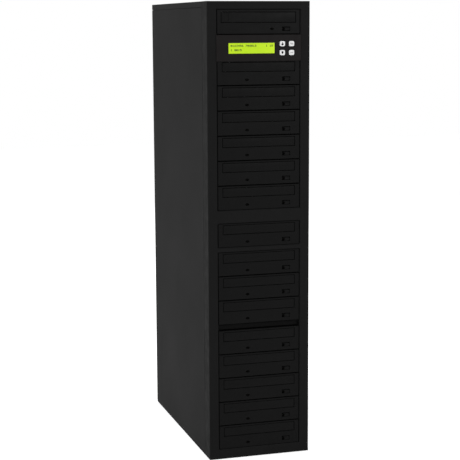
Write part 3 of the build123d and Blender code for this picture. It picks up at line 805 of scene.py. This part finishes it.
def fan_frames():
    """Square fan frames with a round duct, struts, motor base and screw holes."""
    half, clear = 40.0 * mm, 5.0 * mm
    strut_middle = 25.5 * mm
    strut_size = Matrix.Diagonal((27.0 * mm, 2.9 * mm, 4.5 * mm, 1.0))
    strut_sunk = Vector((0, 1.5 * mm, 0))
    base = [(0, -0.1), (11.8, -0.1), (13.0, -1.0), (13.2, -3.0), (4.0, -3.0), (4.0, -20.0), (0, -20.0)]
    corners = [Vector((x, 0, z)) for x in (-1, 1) for z in (-1, 1)]
    mesh = bmesh.new()
    for node in fans:
        back = fan_axis(node)
        moulding = bmesh.new()
        low = back + Vector((-half, -fan_depth, -half))
        block(moulding, low, back + Vector((half, 0, half)), 0.8 * mm)
        bores = [(back, fan_bore, 96)]
        bores += [(back + corner * screw_spread, 2.2 * mm, 20) for corner in corners]
        for centre, radius, segments in bores:
            start = centre - Vector((0, fan_depth + clear, 0))
            end = centre + Vector((0, clear, 0))
            moulding = carve(moulding, round_cutter(start, end, radius, segments))
        for angle in diagonal_angles():
            out = Vector((math.cos(angle), 0, math.sin(angle)))
            side = Vector((-out.z, 0, out.x))
            bar = bmesh.ops.create_cube(moulding, size=1.0)["verts"]
            middle = Matrix.Translation(back + out * strut_middle - strut_sunk)
            turn = Matrix((out, Vector((0, 1, 0)), side)).transposed().to_4x4()
            bmesh.ops.transform(moulding, matrix=middle @ turn @ strut_size, verts=bar)
        turned(moulding, facing_back(back), base, 64)
        add_part(mesh, moulding, Matrix())
    piece_from(mesh, "fan_frame_mouldings", finishes["fan_plastic"], "case", "fan_frames")


def fan_rotor(node):
    """Hub with a rounded cap and seven blades that twist and sweep forward."""
    back = fan_axis(node)
    blades = 7
    root, reach = 15.6 * mm, 36.2 * mm
    depth_middle = -14.0 * mm
    root_pitch, untwist = 52, 20
    root_chord, widening = 15.0 * mm, 8.0 * mm
    hollow, sweep = 2.4 * mm, 0.16
    hub = [(14.4, -5.0), (14.6, -4.2), (15.8, -4.2), (16.0, -4.5), (16.0, -22.3), (15.5, -23.4)]
    hub += [(14.4, -23.8), (10.0, -23.8), (9.4, -23.5), (0, -23.5), (0, -20.8), (14.4, -20.8), (14.4, -5.0)]
    mesh = bmesh.new()
    turned(mesh, facing_back(back), hub, 64)
    for blade in range(blades):
        sheet = bmesh.new()
        bmesh.ops.create_grid(sheet, x_segments=9, y_segments=6, size=0.5)
        for vert in sheet.verts:
            along, across = vert.co.x + 0.5, vert.co.y
            radius = root + along * (reach - root)
            pitch = math.radians(root_pitch - untwist * along)
            chord = root_chord + widening * along
            camber = (0.25 - across * across) * hollow
            turn = across * chord * math.cos(pitch) + camber * math.sin(pitch)
            depth = across * chord * math.sin(pitch) - camber * math.cos(pitch)
            angle = turn / radius + sweep * along
            vert.co = (radius * math.cos(angle), radius * math.sin(angle), depth_middle - depth)
        bmesh.ops.recalc_face_normals(sheet, faces=sheet.faces)
        bmesh.ops.solidify(sheet, geom=sheet.faces[:], thickness=1.3 * mm)
        add_part(mesh, sheet, facing_back(back, 2 * math.pi / blades * blade))
    piece_from(mesh, node + "_wheel", finishes["fan_plastic"], node, node)


def ring_of_wire(mesh, centre, radius, wire, steps=72):
    """Closed ring of round wire about the tower's depth."""
    place = Matrix.Translation(centre + Vector((radius, 0, 0)))
    section = bmesh.ops.create_circle(mesh, cap_ends=False, segments=10, radius=wire / 2, matrix=place)
    verts = section["verts"]
    edges = list({edge for vert in verts for edge in vert.link_edges})
    bmesh.ops.spin(
        mesh, geom=verts + edges, cent=centre, axis=(0, 1, 0),
        angle=2 * math.pi, steps=steps, use_merge=True,
    )


def painted_cross_shade(mesh, place, reach, height):
    """Painted shade of a cross recess: a flat dark cross on the head of a screw whose top is at a height.
    """
    skew = 20
    arm_size = Matrix.Diagonal((2 * reach, 0.28 * reach, 0.12 * mm, 1.0))
    lift = Matrix.Translation((0, 0, height))
    for turn in (0, 90):
        arm = bmesh.ops.create_cube(mesh, size=1.0)["verts"]
        spun = Matrix.Rotation(math.radians(turn + skew), 4, "Z")
        bmesh.ops.transform(mesh, matrix=place @ lift @ spun @ arm_size, verts=arm)


def pan_head(heads, recess_shades, place, radius=3.2 * mm):
    """Pan-head screw and the painted shade of its cross recess, pointing along a placement's Z."""
    height = 0.62 * radius
    profile = [(0, height), (0.55 * radius, 0.97 * height), (0.85 * radius, 0.72 * height)]
    profile += [(radius, 0.3 * height), (radius, 0), (0, 0)]
    turned(heads, place, [(r / mm, h / mm) for r, h in profile], 24)
    painted_cross_shade(recess_shades, place, 0.5 * radius, height)


def fan_guards():
    """Round-wire guards with their screws, one behind each fan."""
    wire, rings, ring_step = 1.6 * mm, 4, 8.0 * mm
    spoke_start, eye_radius, spoke_gap = 12.0 * mm, 3.0 * mm, 3.4 * mm
    behind = Vector((0, -0.9 * wire, 0))
    wires, heads, recess_shades = bmesh.new(), bmesh.new(), bmesh.new()
    seats = {node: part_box("rear_panel")[1].y for node in fans}
    seats["psu_fan_rotor"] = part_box("power_supply")[1].y
    for node in fans:
        axis = fan_axis(node)
        centre = Vector((axis.x, seats[node] + 1.5 * wire, axis.z))
        for ring in range(rings):
            ring_of_wire(wires, centre, fan_bore - ring * ring_step, wire)
        for angle in diagonal_angles():
            out = Vector((math.cos(angle), 0, math.sin(angle)))
            eye = centre + behind + out * screw_spread * math.sqrt(2)
            rod(wires, centre + behind + out * spoke_start, eye - out * spoke_gap, wire / 2, 10)
            ring_of_wire(wires, eye, eye_radius, wire, 24)
            pan_head(heads, recess_shades, facing_back((eye.x, seats[node], eye.z)), 2.9 * mm)
    piece_from(wires, "fan_guard_wires", finishes["guard_wire"], "case", "fan_guards")
    piece_from(heads, "fan_guard_screws", finishes["screw_metal"], "case")
    # Flat dark crosses: painted shade in the screws' recesses.
    piece_from(recess_shades, "fan_guard_screw_recess_shades", painted_recess_shade, "case", smooth=False)


fan_frames()
for node in fans:
    fan_rotor(node)
fan_guards()


# ---------------------------------------------------------------- screws, feet, inlet
def cover_thumbscrews():
    """Knurled thumbscrews along the rear flanges of the side covers, each slot a flat dark bar of painted
    shade.
    """
    low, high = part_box("cover_thumbscrews")
    radius, head = 5.0 * mm, 5.0 * mm
    rows, ridges = 3, 36
    grip, grip_middle, valley = 0.7 * head, 0.6 * head, 0.94
    neck = [(0, 0), (3.9, 0), (3.9, 1.3), (0, 1.3)]
    crown = [(0, 4.6), (4.5, 4.6), (4.5, 4.8), (4.2, 5.0), (0, 5.0)]
    slot_shade_size = Matrix.Diagonal((1.5 * radius, 0.22 * radius, 0.1 * mm, 1.0))
    top = Matrix.Translation((0, 0, head))
    heads, slot_shades = bmesh.new(), bmesh.new()
    for x in (low.x + radius, high.x - radius):
        for row in range(rows):
            z = low.z + radius + row * (high.z - low.z - 2 * radius) / (rows - 1)
            place = facing_back((x, high.y - head, z))
            knurl = bmesh.new()
            bmesh.ops.create_cone(
                knurl, cap_ends=True, segments=2 * ridges, radius1=radius, radius2=radius,
                depth=grip, matrix=Matrix.Translation((0, 0, grip_middle)),
            )
            valleys = [
                vert for vert in knurl.verts
                if round(math.atan2(vert.co.y, vert.co.x) / (math.pi / ridges)) % 2
            ]
            bmesh.ops.scale(knurl, verts=valleys, vec=(valley, valley, 1.0))
            add_part(heads, knurl, place)
            turned(heads, place, neck, 36)
            turned(heads, place, crown, 36)
            # Flat dark bar on the crown: painted shade of the slot.
            bar = bmesh.ops.create_cube(slot_shades, size=1.0)["verts"]
            spun = Matrix.Rotation(math.radians(35 + 50 * row), 4, "Z")
            bmesh.ops.transform(slot_shades, matrix=place @ top @ spun @ slot_shade_size, verts=bar)
    piece_from(
        heads, "thumbscrew_heads", finishes["screw_metal"], "case", "cover_thumbscrews"
    )
    piece_from(slot_shades, "thumbscrew_slot_shades", painted_recess_shade, "case", smooth=False)


def case_screws():
    """Small pan-head screws of the rear panel, the power supply, the inlet and the base."""
    heads, recess_shades = bmesh.new(), bmesh.new()
    low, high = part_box("rear_panel")
    side_inset, top_inset = 20.0 * mm, 9.0 * mm
    middle_row, lower_row = 420.0 * mm, 235.0 * mm
    panel_columns = (low.x + side_inset, high.x - side_inset)
    rear = [(x, z) for x in panel_columns for z in (high.z - top_inset, middle_row, lower_row)]
    back = high.y
    low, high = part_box("power_supply")
    supply_inset = 12.0 * mm
    supply_rows = (low.z + supply_inset, high.z - supply_inset)
    rear += [(x, z) for x in (low.x, high.x) for z in supply_rows]
    for x, z in rear:
        pan_head(heads, recess_shades, facing_back((x, back, z)))
    low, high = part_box("power_inlet")
    inlet_inset = 2.6 * mm
    for z in (low.z + inlet_inset, high.z - inlet_inset):
        pan_head(heads, recess_shades, facing_back(((low.x + high.x) / 2, high.y, z)), 1.7 * mm)
    low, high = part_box("base_pan")
    base_spread, base_inset = 60.0 * mm, 12.0 * mm
    for x in (-base_spread, 0.0, base_spread):
        for y in (low.y + base_inset, high.y - base_inset):
            pan_head(heads, recess_shades, facing_down((x, y, low.z)), 2.6 * mm)
    piece_from(heads, "case_screws", finishes["screw_metal"], "case")
    # Flat dark crosses: painted shade in the screws' recesses.
    piece_from(recess_shades, "case_screw_recess_shades", painted_recess_shade, "case", smooth=False)


def rubber_feet():
    """Round feet with a rolled tread edge and a sunk screw."""
    low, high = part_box("rubber_feet")
    radius, height = 11.0 * mm, high.z - low.z
    sunk = Matrix.Translation((0, 0, 0.12 * height))
    tread = [(0, 0.6), (4.2, 0.6), (4.4, 5.0), (9.2, 5.0), (9.8, 4.8)]
    tread += [(10.1, 4.3), (11.0, 0.3), (10.8, 0), (0, 0)]
    feet, heads, recess_shades = bmesh.new(), bmesh.new(), bmesh.new()
    for x in (low.x + radius, high.x - radius):
        for y in (low.y + radius, high.y - radius):
            place = facing_down((x, y, high.z))
            turned(feet, place, tread, 48)
            pan_head(heads, recess_shades, place @ sunk, 3.0 * mm)
    piece_from(feet, "foot_mouldings", finishes["foot_rubber"], "case", "rubber_feet")
    piece_from(heads, "foot_screws", finishes["screw_metal"], "case")
    # Flat dark crosses: painted shade in the screws' recesses.
    piece_from(recess_shades, "foot_screw_recess_shades", painted_recess_shade, "case", smooth=False)


def inlet_pins():
    """Brass pins over the moulded ones of the mains inlet."""
    low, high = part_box("power_inlet")
    socket_drop, socket_depth = 13.0 * mm, 17.0 * mm
    half_width, half_height, length = 1.1 * mm, 2.1 * mm, 15.3 * mm
    spread, rise = 7.0 * mm, 2.6 * mm
    x, z = (low.x + high.x) / 2, (low.z + high.z) / 2 - socket_drop
    deep = high.y - socket_depth
    mesh = bmesh.new()
    for pin_x, pin_z in ((x, z + rise), (x - spread, z - rise), (x + spread, z - rise)):
        pin_low = (pin_x - half_width, deep, pin_z - half_height)
        pin_high = (pin_x + half_width, deep + length, pin_z + half_height)
        block(mesh, pin_low, pin_high, 0.5 * mm, 3)
    piece_from(mesh, "inlet_pins", pin_brass, "case")


def switch_marks():
    """The line and the ring of an on-off switch, printed on the two slopes of the rocker."""
    pivot = Vector(joint_of["mains_rocker"]["pos_m"])
    tilt = Matrix.Rotation(math.radians(-9), 4, "X")
    reach, out, rise = 4.6 * mm, 3.4 * mm, 1.4 * mm
    half = 9.1 * mm
    half_line = Vector((0.35 * mm, 0, 1.9 * mm))
    below, above = Vector((0, -0.03 * mm, 0)), Vector((0, 0.05 * mm, 0))
    ring = [(1.3, -0.03), (1.9, -0.03), (1.9, 0.05), (1.3, 0.05), (1.3, -0.03)]
    mesh = bmesh.new()
    for side in (-1, 1):
        slope = Matrix.Rotation(-side * math.atan2(rise, half), 4, "X")
        middle = Matrix.Translation((0, out + rise * reach / half, side * reach))
        place = Matrix.Translation(pivot) @ tilt @ middle @ slope
        if side > 0:
            line = bmesh.new()
            block(line, below - half_line, above + half_line)
            add_part(mesh, line, place)
        else:
            turned(mesh, place @ Matrix.Rotation(math.radians(-90), 4, "X"), ring, 36)
    piece_from(mesh, "switch_marks", switch_ink, "mains_rocker", smooth=False)


def lid_lips():
    """Folded lips of the lid behind the seams above the side covers."""
    low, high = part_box("top_cover")
    sheet = 1.2 * mm
    seam_height = 0.8 * mm
    lip, clear = 4.0 * mm, 0.15 * mm
    mesh = bmesh.new()
    for side in (-1, 1):
        outer = side * (high.x - sheet - clear)
        inner = side * (high.x - 2 * sheet)
        block(
            mesh,
            (min(outer, inner), low.y + lip, low.z - seam_height - lip),
            (max(outer, inner), high.y - lip, low.z + lip),
            0.3 * mm,
        )
    piece_from(mesh, "lid_lips", finishes["case_paint"], "case")


def foot_skirt(node, slot, open_end):
    """Low skirt under a node's outer walls, open (1) behind or (-1) in front, just off the floor."""
    low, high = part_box(node)
    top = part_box("rubber_feet")[1].z
    case_low, case_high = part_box("top_cover")
    wall, clear = 1.2 * mm, 0.6 * mm
    inset, overlap = 0.15 * mm, 1.0 * mm
    near, far = low.y + inset, high.y - inset
    mesh, hollow = bmesh.new(), bmesh.new()
    left, right = case_low.x + inset, case_high.x - inset
    block(mesh, (left, near, clear), (right, far, top + overlap), 0.3 * mm)
    block(
        hollow,
        (left + wall, near + open_end * wall, 0),
        (right - wall, far + open_end * wall, top + 2 * overlap),
    )
    piece_from(carve(mesh, hollow), node + "_skirt", finishes[slot], "case")


foot_skirt("front_bezel", "bezel_plastic", 1)
foot_skirt("left_side_cover", "case_paint", -1)
lid_lips()
cover_thumbscrews()
case_screws()
rubber_feet()
inlet_pins()
switch_marks()


# ---------------------------------------------------------------- floor, light and camera
def floor():
    """Pale floor that shows white to the camera and keeps the tower's shadow."""
    half_side, cloud = 6.0, 0.4
    paper_glow = 0.64
    mesh = bmesh.new()
    bmesh.ops.create_grid(mesh, x_segments=1, y_segments=1, size=half_side)
    shade = Shade("floor_paper", roughness=0.9, specular=0.1)
    shade.colour(shade.between(shade.noise(cloud), grey(0.78), grey(0.82)))
    strength = shade.looked_at() * paper_glow
    glow = shade.node("ShaderNodeEmission", inputs={"Color": white, "Strength": strength})
    both = shade.node(
        "ShaderNodeAddShader",
        inputs={0: Link(shade, shade.surface.outputs[0]), 1: Link(shade, glow.outputs[0])},
    )
    shade.feed(shade.nodes["Material Output"].inputs["Surface"], Link(shade, both.outputs[0]))
    made = to_object(mesh, "floor")
    made.data.materials.append(shade.material)


def lamp(name, place, width, height, power):
    """Soft box aimed at the middle of the case."""
    aim = Vector((0.0, 0.0, 0.4)) - Vector(place)
    light = bpy.data.lights.new(name, "AREA")
    light.shape = "RECTANGLE"
    light.size = width
    light.size_y = height
    light.energy = power
    made = bpy.data.objects.new(name, light)
    made.location = place
    made.rotation_euler = aim.to_track_quat("-Z", "Y").to_euler()
    bpy.context.scene.collection.objects.link(made)


def world():
    """White surroundings for the camera and reflections, softer for the light they give."""
    room_light = 0.45
    made = bpy.data.worlds.new("studio")
    tree = Tree(made)
    background = tree.nodes["Background"]
    tree.feed(background.inputs["Color"], white)
    strength = tree.remap(tree.looked_at(), 0.0, 1.0, room_light, 1.0)
    tree.feed(background.inputs["Strength"], strength)
    bpy.context.scene.world = made


def camera():
    """Camera at the photograph's place, from its heading, dip and roll."""
    place = (-0.7049, -2.3728, 0.7577)
    heading, dip, roll = 0.291, 0.152, 0.005
    focal = 1331.0
    frame_width = 460
    sensor = 36.0
    ahead = Vector(
        (math.sin(heading) * math.cos(dip), math.cos(heading) * math.cos(dip), -math.sin(dip))
    )
    right = Vector((math.cos(heading), -math.sin(heading), 0.0))
    down = ahead.cross(right)
    level, tipped = math.cos(roll), math.sin(roll)
    right, down = level * right + tipped * down, level * down - tipped * right
    data = bpy.data.cameras.new("camera")
    data.sensor_width = sensor
    data.lens = focal / frame_width * sensor
    made = bpy.data.objects.new("camera", data)
    turn = Matrix((right, -down, -ahead)).transposed().to_4x4()
    made.matrix_world = Matrix.Translation(place) @ turn
    bpy.context.scene.collection.objects.link(made)
    bpy.context.scene.camera = made


floor()
world()
lamp("left_softbox", (-2.4, -0.1, 1.3), width=1.4, height=1.8, power=42.0)
lamp("front_softbox", (0.8, -1.3, 1.0), width=0.7, height=0.7, power=7.5)
lamp("back_softbox", (0.6, 2.6, 1.6), width=1.4, height=1.4, power=25.0)
camera()

bpy.context.scene.view_settings.view_transform = "Standard"
